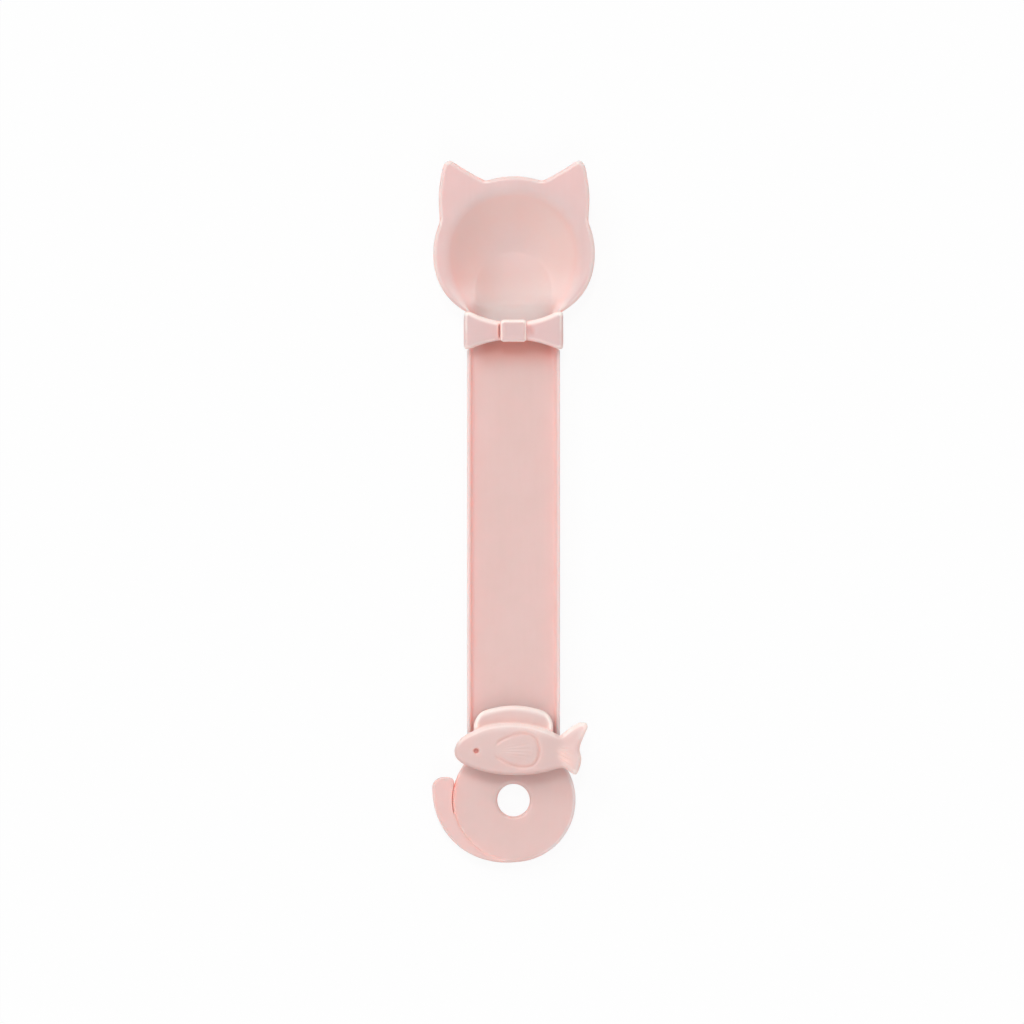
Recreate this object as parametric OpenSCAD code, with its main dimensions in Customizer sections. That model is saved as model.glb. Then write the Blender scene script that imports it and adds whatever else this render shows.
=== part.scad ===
// Cat-shaped feeding spoon for squeeze pouches. A pouch lies in the handle's
// channel, its mouth goes under the bow tie, and the fish slider is pushed
// towards the bowl to press the paste out. All sizes are in millimetres. The
// spoon lies on its back: +Y runs along the handle towards the bowl, +Z is up
// out of the front face, and Z = 0 is the table that it rests on.

/* [Overall] */
// Distance from the hanging hole's centre to the bowl's centre
centre_l = 152.2; // [132:0.1:172]
// Height of the handle's back above the table
back_z = 2.2; // [2.1:0.1:3]
// Running gap between the slider and the handle
slide_gap = 0.3; // [0.15:0.05:0.4]
// Gap between pieces that are pressed together
press_gap = 0.05; // [0.02:0.01:0.1]

/* [Cat face] */
// Width of the face's oval
face_w = 45.2; // [42:0.1:50]
// Height of the face's oval
face_l = 42.2; // [40.5:0.1:46]
// Thickness of the flat rim and ears
rim_t = 2; // [1.5:0.1:2.5]
// Distance from the bowl's centre up to the ear tips
ear_l = 25.5; // [24:0.1:30]
// Radius of an ear's tip
ear_tip_r = 1.8; // [1.2:0.1:2.6]
// Radius of the bend on an ear's outer side
ear_side_r = 3; // [1.5:0.1:5]
// Distance between the centres of the two ear tips
ear_span = 35.2; // [32:0.1:37]
// Width across the ears' outer sides
ear_side_w = 41.7; // [40:0.1:44]
// Distance between the ears along the forehead
ear_gap = 16; // [10:0.5:20]
// Distance from the bowl's centre up to the ears' lower ends
ear_root = 8; // [4:0.5:12]

/* [Bowl] */
// Width of the bowl's opening
bowl_w = 36.8; // [32:0.1:38]
// Length of the bowl's opening
bowl_l = 33.6; // [31:0.1:35]
// Depth of the bowl below its rim
bowl_depth = 5.9; // [4.5:0.1:6.2]
// How far the deepest point lies from the bowl's centre, towards the ears
bowl_shift = 5; // [0:0.5:6]
// Share of the bowl's opening that its flat bottom takes up
bowl_flat = 0.25; // [0.15:0.05:0.5]
// Thickness of the bowl's wall where it meets the rim
bowl_wall = 1.8; // [1.4:0.1:2]
// Share of the bowl's width that rests on the table
foot_share = 0.42; // [0.3:0.02:0.6]

/* [Handle] */
// Width of the handle
handle_w = 25.8; // [24.5:0.1:27.5]
// Thickness of the channel's floor
floor_t = 1.8; // [1.6:0.1:2.4]
// Thickness of each side rail
rail_t = 1.35; // [1.2:0.05:1.8]
// Height of the side rails above the floor
rail_h = 1.6; // [1:0.1:2]
// Size of the small bevels along the rails
rail_bevel = 0.3; // [0.1:0.05:0.5]

/* [Round end] */
// Radius of the round end
disc_r = 17; // [16:0.1:18.5]
// Radius of the hanging hole
hole_r = 4.5; // [3:0.1:6]
// Radius of the rounded edge on the front face
edge_r = 0.6; // [0.3:0.1:0.9]
// Thickness of the wall round the disc and of the hub round the hole
disc_wall = 1.6; // [1.2:0.1:2]
// Width of the curled tail at its tip
tail_w = 5.3; // [4:0.1:7]
// Angle at which the tail's curve leaves the disc, clockwise from the right
tail_turn = 65; // [45:1:75]
// Height of the tail above the disc's face
tail_rise = 0.7; // [0.3:0.1:1.2]
// Width of the slit between the tail's tip and the disc
tail_slit = 0.3; // [0.2:0.05:0.6]

/* [Bow tie] */
// How far each end of the bow stands out past the handle
bow_over = 0.85; // [0.75:0.05:1.5]
// Length of the bow along the handle, at its ends
bow_l = 10.3; // [9.6:0.1:11]
// Distance from the bowl's centre down to the bow's centre
bow_drop = 21.8; // [20.5:0.1:23.5]
// Thickness of the bow's front plate
bow_t = 1.8; // [1.4:0.1:2.2]
// How deep the curve towards the bowl cuts into the bow
bow_dip_top = 3.1; // [2:0.1:3.4]
// How deep the curve towards the handle cuts into the bow
bow_dip_low = 2.1; // [1:0.1:2.3]
// Width of the knot
knot_w = 7.1; // [5:0.1:9]
// Length of the knot along the handle
knot_l = 6.2; // [5.6:0.1:7]
// Height of the knot above the bow
knot_rise = 1.2; // [0.6:0.1:1.6]
// Height of the slot under the bow, above the channel's floor
slot_h = 3.6; // [3:0.1:4]
// Length of the bow's clips along the handle
clip_l = 8; // [6:0.1:8.2]
// How deep the clips sit in the sides of the neck
clip_notch = 0.65; // [0.4:0.05:0.8]
// How far the clips hook in under the neck
clip_hook = 1.3; // [0.8:0.1:1.4]
// Thickness of the clips' hooks
hook_t = 1.5; // [1.2:0.1:1.7]
// Gap between the clips' hooks and the raised back of the neck
hook_gap = 0.6; // [0.3:0.1:1]

/* [Neck joint] */
// Width of the head's tongue
tongue_w = 18; // [12:0.5:18.5]
// Length of the head's tongue
tongue_l = 6; // [4:0.5:6.5]
// Thickness of the head's tongue
tongue_t = 1.4; // [1:0.1:1.6]
// Thickness of the walls under and behind the tongue
socket_wall = 1.2; // [0.9:0.1:1.3]

/* [Slider] */
// Gap on each side between the slider's block and the rails
block_gap = 0.5; // [0.3:0.05:1]
// Length of the block along the handle
block_l = 16; // [14:0.5:17]
// How far the block reaches below the fish's middle
block_tuck = 4; // [2:0.5:5]
// Thickness of the block
block_t = 3.8; // [3:0.1:4.2]
// Radius of the block's corners
block_r = 3; // [1:0.1:4]
// Radius of the block's arched edge
arch_r = 24.6; // [20:0.1:40]
// Thickness of the lip left along the block's arched edge
lip_t = 1.2; // [0.8:0.1:2]
// Width of the thumb's dish between the lip and the fish
dish_w = 7; // [5:0.5:8]
// Depth of the thumb's dish
dish_depth = 0.7; // [0.3:0.1:1.2]
// Gap under the block, which the pouch is drawn through
squeeze_gap = 0.8; // [0.5:0.1:1.2]
// Thickness of the bridge over each rail
bridge_t = 1.7; // [1.2:0.1:2]
// Thickness of the slider's legs
leg_t = 1.5; // [1.3:0.1:1.8]
// Length of the slider's legs along the handle
leg_l = 5.4; // [4:0.1:6]
// How far each leg's plug is set in from its sides
plug_inset = 0.3; // [0.2:0.05:0.4]
// Thickness of the slider's back plate
plate_t = 1.5; // [1:0.1:1.6]
// How far the back plate reaches past the legs, towards the bowl
plate_over = 5.2; // [2:0.1:8]
// Gap between the legs and the round end when the slider rests
leg_clear = 0.4; // [0.2:0.1:3]

/* [Fish] */
// Length of the fish's body, from its nose to the root of its tail
fish_l = 29.1; // [28:0.1:31]
// Distance from the fish's middle to its nose
nose_l = 16.3; // [15:0.1:17]
// Height of the fish's body
fish_h = 14.5; // [13:0.1:16]
// Radius of the fish's nose
nose_r = 4.2; // [3.8:0.1:4.8]
// How far the tail fin reaches past its root
tail_fin_l = 7.8; // [6.5:0.1:9]
// Height of the tail fin's upper tip above the fish's middle
tail_fin_up = 7.8; // [6.5:0.1:9]
// Depth of the tail fin's lower tip below the fish's middle
tail_fin_down = 6.7; // [6:0.1:8]
// Radius of the tail fin's tips
tail_fin_r = 1.4; // [0.8:0.1:1.8]
// Thickness of the fish at its edge
fish_edge_t = 2; // [1.4:0.1:2.6]
// Extra thickness along the fish's middle
fish_crown = 1; // [0.4:0.1:1.4]
// Radius of the fish's eye
eye_r = 0.7; // [0.4:0.1:1]
// Distance from the fish's nose to its eye
eye_l = 5.9; // [4:0.1:8]
// Width of the side fin
fin_w = 12.8; // [10:0.1:14]
// Distance from the fish's middle to the side fin's round end
fin_x = 7.2; // [5:0.1:9]
// Width of the lines cut into the fish
line_w = 0.5; // [0.3:0.05:0.7]
// Number of rays cut into the side fin
fin_rays = 5; // [3:1:6]
// Number of rays cut into the tail fin
tail_rays = 6; // [4:1:7]

/* [Hidden] */
$fn = 72;
pink = [0.925, 0.780, 0.760];
// How far solids reach into each other where they are one piece
sink = 0.01;
// How far cuts reach past the solids that they cut
past = 1;

// The curled tail's outer circle touches the disc from inside, off its centre
tail_off = (tail_slit + tail_w) / (1 + cos(tail_turn));
tail_r = disc_r + tail_off;
tail_c = tail_off * [-cos(tail_turn), sin(tail_turn)];

// Heights
floor_z = back_z + floor_t;
rail_top = floor_z + rail_h;
slot_top = floor_z + slot_h;
rim_z = slot_top - press_gap;
core_z = 0.3;
tongue_z = core_z + socket_wall + press_gap;
block_z = floor_z + squeeze_gap;
fish_z = rail_top + slide_gap + bridge_t;
plate_z = back_z - slide_gap - plate_t;
hook_z = back_z - press_gap - hook_t;

// Sizes across the handle
channel_w = handle_w - 2 * rail_t;
notch_w = handle_w - 2 * clip_notch;
clip_in = notch_w / 2 + press_gap;
bow_w = handle_w + 2 * bow_over;
core_w = 2 * (clip_in - clip_hook - hook_gap);
block_w = channel_w - 2 * block_gap;
leg_in = handle_w / 2 + slide_gap;
leg_out = leg_in + leg_t;
plug_t = leg_t - 2 * plug_inset;
plug_l = leg_l - 2 * plug_inset;

// Places along the handle
tail_drop = tail_r - tail_c.y;
overall_l = tail_drop + centre_l + ear_l;
hole_y = tail_drop - overall_l / 2;
bowl_y = hole_y + centre_l;
bow_y = bowl_y - bow_drop;
joint_y = bow_y;
clip_y = joint_y - clip_l / 2;
leg_y = hole_y + sqrt(pow(disc_r + slide_gap, 2) - pow(leg_in, 2)) + leg_clear;
fish_y = leg_y + leg_l / 2;
block_y = fish_y - block_tuck;

// Points along an arc about c, from angle a0 to angle a1
function arc(c, r, a0, a1, n = 12) =
    [for (i = [0:n]) let (a = a0 + (a1 - a0) * i / n) c + r * [cos(a), sin(a)]];

// The radius of a curve that rises by h over a chord of length w
function rise_r(w, h) = (w * w / 4 + h * h) / (2 * h);

// A block centred on X, from y0 to y1 and from z0 to z1
module bar(w, y0, y1, z0, z1) {
    translate([-w / 2, y0, z0]) cube([w, y1 - y0, z1 - z0]);
}

module mirrored() {
    children();
    mirror([1, 0, 0]) children();
}

// ---------------------------------------------------------------- spoon head
module ear_outline() {
    side_x = ear_side_w / 2;
    point_r = 0.1;
    forehead_y = face_l / 2 * sqrt(1 - pow(ear_gap / face_w, 2));
    hull() {
        translate([ear_span / 2, ear_l - ear_tip_r]) circle(ear_tip_r);
        translate([side_x - ear_side_r, ear_l - ear_tip_r - ear_side_r]) circle(ear_side_r);
        translate([side_x - point_r, ear_root]) circle(point_r);
        translate([ear_gap / 2, forehead_y - point_r]) circle(point_r);
        translate([ear_gap / 2, ear_root]) circle(point_r);
    }
}

module face_outline() {
    scale([face_w / face_l, 1]) circle(face_l / 2);
    mirrored() ear_outline();
}

// A bowl of oval rings, from its mouth at z_top down to a flat oval
module bowl_form(w, l, z_top, depth, flat, rings = 9) {
    module ring(i) {
        turn = 90 * i / rings;
        size = flat + (1 - flat) * cos(turn);
        translate([0, bowl_shift * sin(turn), z_top - depth * sin(turn)])
            scale([w / 2 * size, l / 2 * size, 1])
                cylinder(h = sink, r = 1, $fn = 64);
    }
    for (i = [0:rings - 1])
        hull() {
            ring(i);
            ring(i + 1);
        }
}

// The neck: the end of the channel, with the tongue that goes into the handle
module neck() {
    y0 = joint_y + press_gap;
    y1 = bowl_y - bowl_l / 4;
    bar(handle_w, y0, y1, back_z, slot_top);
    bar(core_w, y0, y1, core_z, back_z + sink);
    bar(tongue_w, joint_y - tongue_l, y0 + sink, tongue_z, tongue_z + tongue_t);
}

// The cut in each side of the neck and handle that the bow's clips sit in
module clip_notches() {
    mirrored()
        translate([notch_w / 2, clip_y - press_gap, core_z])
            cube([bow_w, clip_l + 2 * press_gap, slot_top]);
}

module spoon_head() {
    outer_z = rim_z - rim_t / 4;
    joint_end = joint_y + press_gap;
    color(pink)
        difference() {
            union() {
                difference() {
                    translate([0, bowl_y, 0]) {
                        translate([0, 0, rim_z - rim_t])
                            linear_extrude(rim_t) face_outline();
                        bowl_form(bowl_w + 2 * bowl_wall, bowl_l + 2 * bowl_wall,
                                  outer_z, outer_z, foot_share);
                    }
                    // nothing of the face reaches past the joint
                    bar(face_w, joint_end - face_l, joint_end, -past, slot_top);
                }
                neck();
            }
            translate([0, bowl_y, 0])
                bowl_form(bowl_w, bowl_l, rim_z, bowl_depth, bowl_flat);
            bar(channel_w, joint_y - past, bowl_y - bowl_l / 6, floor_z, slot_top + past);
            translate([0, bowl_y, rim_z]) cylinder(h = slot_h, r = face_w);
            clip_notches();
        }
}

// ------------------------------------------------------------------- bow tie
module bow_outline() {
    r_top = rise_r(bow_w, bow_dip_top);
    r_low = rise_r(bow_w, bow_dip_low);
    difference() {
        square([bow_w, bow_l], center = true);
        translate([0, bow_l / 2 - bow_dip_top + r_top]) circle(r_top);
        translate([0, -bow_l / 2 + bow_dip_low - r_low]) circle(r_low);
    }
}

// A leg down the side of the neck, with a hook under it
module bow_clip() {
    translate([clip_in, clip_y, hook_z])
        cube([bow_w / 2 - clip_in, clip_l, slot_top - hook_z + sink]);
    translate([clip_in - clip_hook, clip_y, hook_z])
        cube([bow_w / 2 - clip_in + clip_hook, clip_l, hook_t]);
}

module bow_tie() {
    color(pink) {
        translate([0, bow_y, slot_top]) linear_extrude(bow_t) bow_outline();
        bar(knot_w, bow_y - knot_l / 2, bow_y + knot_l / 2,
            slot_top, slot_top + bow_t + knot_rise);
        mirrored() bow_clip();
    }
}

// -------------------------------------------------------------------- handle
// The right half of the channel's cross-section: a floor and a rail
module channel_half() {
    b = rail_bevel;
    out = handle_w / 2;
    inner = channel_w / 2;
    polygon([
        [0, back_z], [out - b, back_z], [out, back_z + b],
        [out, rail_top - b], [out - b, rail_top], [inner + b, rail_top],
        [inner, rail_top - b], [inner, floor_z], [0, floor_z]
    ]);
}

// What a rounded edge takes off the corner at x, with the solid on side s
module edge_round(x, s) {
    difference() {
        translate([min(x, x - s * edge_r), floor_z - edge_r]) square(edge_r + sink);
        translate([x - s * edge_r, floor_z - edge_r]) circle(edge_r);
    }
}

// The round end's section: a face with a wall round it and a hub at the hole
module disc_section() {
    difference() {
        translate([hole_r, 0]) square([disc_r - hole_r, floor_z]);
        translate([hole_r + disc_wall, -sink])
            square([disc_r - hole_r - 2 * disc_wall, back_z + sink]);
        edge_round(disc_r, 1);
        edge_round(hole_r, -1);
    }
}

// The curled tail, seen from the front, about the hanging hole
module tail_outline() {
    tip = tail_c - [tail_r - tail_w / 2, 0];
    difference() {
        union() {
            intersection() {
                translate(tail_c) circle(tail_r);
                translate([-2 * tail_r, tip.y - 2 * tail_r])
                    square([2 * tail_r + disc_r / 2, 2 * tail_r]);
            }
            translate(tip) circle(tail_w / 2);
        }
        circle(disc_r - edge_r / 2);
        intersection() {
            circle(disc_r + tail_slit);
            translate([-2 * disc_r, -tail_off]) square(2 * disc_r);
        }
    }
}

module handle() {
    rail_y0 = hole_y + sqrt(pow(disc_r, 2) - pow(handle_w / 2, 2)) - rail_t / 2;
    rail_y1 = joint_y - press_gap;
    color(pink)
        difference() {
            union() {
                translate([0, rail_y1, 0]) rotate([90, 0, 0])
                    linear_extrude(rail_y1 - rail_y0) mirrored() channel_half();
                bar(handle_w - 4 * rail_t, hole_y + disc_r / 2, rail_y0 + rail_t,
                    back_z, floor_z);
                translate([0, hole_y, 0]) rotate_extrude() disc_section();
                translate([0, hole_y, back_z])
                    linear_extrude(floor_t + tail_rise) tail_outline();
                bar(core_w, joint_y - tongue_l - socket_wall, rail_y1,
                    core_z, back_z + sink);
            }
            bar(tongue_w + 2 * press_gap, joint_y - tongue_l - press_gap, rail_y1 + past,
                tongue_z - press_gap, tongue_z + tongue_t + press_gap);
            clip_notches();
        }
}

// -------------------------------------------------------------------- slider
// The block: arched towards the bowl, with two corners that run into the arch
module block_outline() {
    arch_y = block_y + block_l - arch_r;
    corner_x = block_w / 2 - block_r;
    corner_y = sqrt(pow(arch_r - block_r, 2) - pow(corner_x, 2));
    intersection() {
        translate([0, arch_y]) {
            intersection() {
                circle(arch_r);
                polygon([[0, 0], 2 * [corner_x, corner_y], 2 * [-corner_x, corner_y]]);
            }
            mirrored() translate([corner_x, corner_y]) circle(block_r);
            translate([-block_w / 2, 0]) square([block_w, corner_y]);
        }
        translate([-block_w, block_y]) square([2 * block_w, 2 * block_l]);
    }
}

// The block, with a dish across its top for the thumb to push on
module block() {
    dish_r = rise_r(dish_w, dish_depth);
    difference() {
        translate([0, 0, block_z]) linear_extrude(block_t) block_outline();
        translate([-block_w, block_y + block_l - lip_t - dish_w / 2,
                   block_z + block_t - dish_depth + dish_r])
            rotate([0, 90, 0]) cylinder(h = 2 * block_w, r = dish_r);
    }
}

// The fish's outline about its own centre, with its head to the left
module fish_outline() {
    // the back and the belly run on from the round nose
    function side_r(nose, h) = (nose * nose + h * h - nose_r * nose_r) / (2 * (h - nose_r));
    nose_x = nose_l - nose_r;
    root_x = fish_l - nose_l;
    side_h = fish_h / 2;
    body_r = side_r(nose_x, side_h);
    nose_a = acos(nose_x / (body_r - nose_r));
    root_a = acos(root_x / body_r);
    tip_x = root_x + tail_fin_l - tail_fin_r;
    up_y = tail_fin_up - tail_fin_r;
    down_y = tail_fin_r - tail_fin_down;
    notch_x = tip_x - tail_fin_r / 2;
    polygon(concat(
        arc([-nose_x, 0], nose_r, 180 + nose_a, 180 - nose_a),
        arc([0, side_h - body_r], body_r, 180 - nose_a, root_a, 20),
        [[root_x + 0.4 * tail_fin_l, up_y]],
        arc([tip_x, up_y], tail_fin_r, 105, -15, 6),
        [[notch_x, 0], [tip_x - tail_fin_r / 3, down_y / 2]],
        arc([notch_x - tail_fin_r / 2, down_y], tail_fin_r, 5, -125, 6),
        arc([0, body_r - side_h], body_r, -root_a, nose_a - 180, 20)));
}

// The side fin: a leaf with its point towards the head
module fin_outline(grow = 0) {
    round_r = fin_w * 0.37;
    leaf_x = fin_x - round_r;
    leaf_l = fin_w - round_r;
    leaf_r = rise_r(2 * leaf_l, round_r);
    translate([leaf_x, 0]) circle(round_r + grow);
    intersection() {
        translate([leaf_x, round_r - leaf_r]) circle(leaf_r + grow);
        translate([leaf_x, leaf_r - round_r]) circle(leaf_r + grow);
        translate([leaf_x - fin_w, -fin_w]) square([fin_w, 2 * fin_w]);
    }
}

// The lines cut into the fish: the fin's edge and rays, the tail's rays, the eye
module fish_lines() {
    top_z = fish_z + fish_edge_t + fish_crown;
    ray_l = fin_w * 0.45;
    ray_w = line_w / 2;
    ray_fan = 14;
    tail_fan = 56;
    cut_h = fish_crown + line_w;
    translate([0, 0, top_z - line_w]) linear_extrude(cut_h) {
        difference() {
            fin_outline(ray_w);
            fin_outline(-ray_w);
        }
        for (i = [0:fin_rays - 1]) {
            fan = 2 * i / (fin_rays - 1) - 1;
            translate([fin_x - 1.5 * ray_l, fan * fin_w / 10])
                rotate(ray_fan * fan) square([ray_l, ray_w]);
        }
    }
    translate([fish_l - nose_l, -line_w, fish_z + fish_edge_t - ray_w])
        linear_extrude(cut_h)
            for (i = [0:tail_rays - 1])
                rotate(ray_fan - tail_fan * i / (tail_rays - 1))
                    translate([tail_fin_l / 8, 0]) square([tail_fin_l / 2.5, ray_w]);
    translate([eye_l - nose_l, 0, fish_z + fish_edge_t]) cylinder(h = cut_h, r = eye_r);
}

module fish() {
    crown_r = rise_r(fish_h, fish_crown);
    difference() {
        intersection() {
            translate([0, 0, fish_z])
                linear_extrude(fish_edge_t + fish_crown) fish_outline();
            translate([-fish_l, 0, fish_z + fish_edge_t + fish_crown - crown_r])
                rotate([0, 90, 0]) cylinder(h = 2 * fish_l, r = crown_r);
        }
        fish_lines();
    }
}

module fish_slider() {
    color(pink) {
        block();
        translate([0, fish_y, 0]) fish();
        bar(2 * leg_out, leg_y, leg_y + leg_l, fish_z - bridge_t, fish_z + sink);
        mirrored() {
            translate([leg_in, leg_y, plate_z + plate_t])
                cube([leg_t, leg_l, fish_z - plate_z - plate_t]);
            translate([leg_in + plug_inset, leg_y + plug_inset, plate_z])
                cube([plug_t, plug_l, plate_t + sink]);
        }
    }
}

// A rectangle of w by l from the corner at c, grown by g all round
module grown_square(c, w, l, g) {
    translate(c - [g, g]) square([w + 2 * g, l + 2 * g]);
}

// The plate behind the handle, which the slider's legs plug into
module slider_back_plate() {
    color(pink)
        translate([0, 0, plate_z])
            linear_extrude(plate_t)
                difference() {
                    union() {
                        translate([-leg_out, leg_y]) square([2 * leg_out, leg_l]);
                        translate([-handle_w / 2, leg_y])
                            square([handle_w, leg_l + plate_over]);
                    }
                    translate([0, hole_y]) circle(disc_r + slide_gap);
                    mirrored()
                        grown_square([leg_in, leg_y] + plug_inset * [1, 1],
                                     plug_t, plug_l, press_gap);
                }
}

spoon_head();
bow_tie();
handle();
fish_slider();
slider_back_plate();
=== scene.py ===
# %% [markdown]
# # A feeding spoon with a cat's face and a fish slider
# A pouch of paste lies in the handle's channel with its mouth under the bow tie, and the
# fish is pushed towards the bowl to press the paste out. The whole thing is moulded in one
# pink plastic, so its looks come from soft edges, shallow relief and an even satin skin.
# The frame below is the measured model. Every piece made here stays inside its box.

# %% Load the frame
import math
import bpy
import numpy as np
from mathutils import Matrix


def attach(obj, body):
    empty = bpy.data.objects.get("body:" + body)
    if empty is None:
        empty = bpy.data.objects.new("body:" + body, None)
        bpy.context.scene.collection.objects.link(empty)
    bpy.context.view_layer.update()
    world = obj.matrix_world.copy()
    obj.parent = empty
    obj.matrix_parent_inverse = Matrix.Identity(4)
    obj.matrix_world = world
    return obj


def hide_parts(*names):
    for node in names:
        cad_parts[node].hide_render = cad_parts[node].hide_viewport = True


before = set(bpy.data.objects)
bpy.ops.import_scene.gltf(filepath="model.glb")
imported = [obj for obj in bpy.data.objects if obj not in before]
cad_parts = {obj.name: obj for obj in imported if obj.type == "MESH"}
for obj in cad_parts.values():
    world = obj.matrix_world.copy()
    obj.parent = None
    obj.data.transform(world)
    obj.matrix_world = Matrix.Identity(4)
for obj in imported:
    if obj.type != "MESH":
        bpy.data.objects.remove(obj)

scene = bpy.context.scene

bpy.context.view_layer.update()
print("nodes:", sorted(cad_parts))

# %% [markdown]
# ## Working in millimetres
# Moulds are drawn in millimetres, so the shapes here are too, and only the finished mesh is
# turned into Blender's metres. The values below are shared by pieces that sit on or in each
# other. x runs across the spoon, y along it towards the bowl, and z up from its back.

# %% Shared heights, places and widths
MM = 0.001
BACK = 2.2  # height of the handle's back
FLOOR = 4.0  # height of the channel's floor and the disc's face
RAIL = 5.0  # height of the tops of the rails
RIM = 7.55  # height of the rim's flat
SLOT = 7.6  # height of the undersides of the bow and the fish
CORE_Z = 0.3  # height of the backs of the two cores at the joint
BOWL_Y = 72.034  # the bowl's middle
JOINT_Y = 50.234  # the joint of handle and head, under the bow
HOLE_Y = -80.166  # the hanging hole's middle
FISH_Y = -65.883  # the fish's middle, when it rests
HEAD_END, HANDLE_END = 50.28, 50.18  # the head's and the handle's faces at the joint
HANDLE_HALF, CORE_HALF = 12.9, 10.4  # half the widths of handle and cores
TONGUE_HALF, TONGUE_END = 9, 44.23  # the head's tongue, in the handle's socket
TONGUE_LOW, TONGUE_HIGH = 1.55, 2.95
CLIP_X, CLIP_HALF = 12.25, 4.05  # the notches for the bow's clips
PRESS = 0.05  # gap round what is pressed into a piece
print("from the hanging hole to the bowl:", round(BOWL_Y - HOLE_Y, 1), "mm")

# %% [markdown]
# ## How the moulded shapes are made
# A moulded part has no sharp corners. Bevels on a box model give that look only where the
# edges are simple, and here an ear runs into a rim and a tail into a disc. So each piece is
# written as a distance: a formula that is negative inside the plastic and positive outside.
# Two such formulas join, or one cuts the other, with an exact round of any radius between
# them. The helpers below are the few flat shapes and the rounds that all pieces use.

# %% Distances to flat shapes
def oval(x, y, a, b):
    """Distance to an oval with half-axes a and b."""
    k = np.sqrt((x / a) ** 2 + (y / b) ** 2) + 1e-9
    g = np.sqrt((x / a ** 2) ** 2 + (y / b ** 2) ** 2) + 1e-9
    return k * (k - 1) / g


def outline(x, y, loop):
    """Distance to a closed loop of corner points."""
    x, y = np.broadcast_arrays(x, y)
    nearest = np.full(x.shape, 1e9)
    inside_loop = np.zeros(x.shape, bool)
    for (ax, ay), (bx, by) in zip(loop, np.roll(loop, -1, axis=0)):
        ex, ey = bx - ax, by - ay
        t = np.clip(((x - ax) * ex + (y - ay) * ey) / (ex * ex + ey * ey), 0, 1)
        nearest = np.minimum(nearest, (x - ax - t * ex) ** 2 + (y - ay - t * ey) ** 2)
        if ay != by:
            inside_loop ^= ((ay <= y) != (by <= y)) & (x < ax + (y - ay) * ex / ey)
    return np.where(inside_loop, -1, 1) * np.sqrt(nearest)


def smooth_loop(corners, parts=5):
    """A smooth closed curve through the corner points."""
    b = np.array(corners, float)
    a, c, d = np.roll(b, 1, 0), np.roll(b, -1, 0), np.roll(b, -2, 0)
    loop = []
    for t in np.linspace(0, 1, parts, endpoint=False):
        curve = 2 * b + (c - a) * t + (2 * a - 5 * b + 4 * c - d) * t ** 2
        loop.append(0.5 * (curve + (3 * b - a - 3 * c + d) * t ** 3))
    return np.stack(loop, 1).reshape(-1, 2)


def distance_map(loop, margin=5.0, gap=0.08):
    """The distance to a loop, worked out once on a fine grid and then looked up."""
    loop = np.array(loop, float)
    low = loop.min(0) - margin
    size = np.ceil((loop.max(0) + margin - low) / gap).astype(int)
    gx = low[0] + gap * np.arange(size[0])
    gy = low[1] + gap * np.arange(size[1])
    table = outline(gx[:, None], gy[None, :], loop)

    def distance(x, y):
        u = np.clip((x - low[0]) / gap, 0, size[0] - 1.001)
        v = np.clip((y - low[1]) / gap, 0, size[1] - 1.001)
        i, j = u.astype(int), v.astype(int)
        u, v = u - i, v - j
        left = (1 - v) * table[i, j] + v * table[i, j + 1]
        right = (1 - v) * table[i + 1, j] + v * table[i + 1, j + 1]
        return (1 - u) * left + u * right

    return distance


print("a unit oval at x = 2 is", round(float(oval(2.0, 0.0, 1.0, 1.0)), 2), "away")

# %% Rounds between shapes
def both(a, b, r):
    """Where two shapes overlap, with a convex round of radius r on the edge."""
    over = np.hypot(np.maximum(a + r, 0), np.maximum(b + r, 0))
    return np.minimum(-r, np.maximum(a, b)) + over


def either(a, b, r):
    """Two shapes as one, with a fillet of radius r in the corner between them."""
    return -both(-a, -b, r)


def without(a, b, r):
    """The first shape with the second taken out, and the edge rounded."""
    return both(a, -b, r)


def block(x, y, z, low, high, r):
    """A box between two corners with all edges rounded."""
    parts = []
    for p, a, b in zip((x, y, z), low, high):
        parts.append(np.abs(p - (a + b) / 2) - (b - a) / 2 + r)
    qx, qy, qz = parts
    far = np.sqrt(np.maximum(qx, 0) ** 2 + np.maximum(qy, 0) ** 2 + np.maximum(qz, 0) ** 2)
    return far + np.minimum(np.maximum(np.maximum(qx, qy), qz), 0) - r


def raised(flat, z, low, high, top_r, low_r=0.25):
    """A flat shape raised between two heights, with its own round at each end."""
    return both(both(flat, z - high, top_r), low - z, low_r)


def ease(t):
    """A smooth step from 0 to 1."""
    t = np.clip(t, 0, 1)
    return t * t * (3 - 2 * t)


print("a round of 1 mm takes a corner back by", round(float(both(0.0, 0.0, 1.0)), 2), "mm")

# %% [markdown]
# ## From a distance to a mesh
# The distance is read on a grid of cells. Each cell that the surface passes through gets one
# point, and each grid edge that it crosses gets one four-sided face between the cells around
# it, so the mesh is closed and made of squares. The points are then slid along the slope of
# the distance until they lie on the surface exactly. The grid can be fine where there is
# relief and coarse along a plain stretch, which keeps the count of faces low.
# Each point also keeps how sharply the surface bends there, up to 1 on a tight edge and
# below 0 in a corner, which sets a painted highlight on its edges and a painted shade in
# its corners. A piece's own function can change that painted light.

# %% Grid lines, slope and bend
def spaced(*stops):
    """Grid lines from stops of (place, spacing from here to the next stop)."""
    lines = []
    for (a, gap), (b, _) in zip(stops, stops[1:]):
        lines.extend(np.linspace(a, b, max(1, round((b - a) / gap)), endpoint=False))
    return np.array(lines + [stops[-1][0]])


def slope(field, p, h=0.02):
    """The direction in which the distance grows, at each point."""
    rows = [field(*(p + h * e).T) - field(*(p - h * e).T) for e in np.eye(3)]
    return np.stack(rows, 1) / (2 * h)


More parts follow.
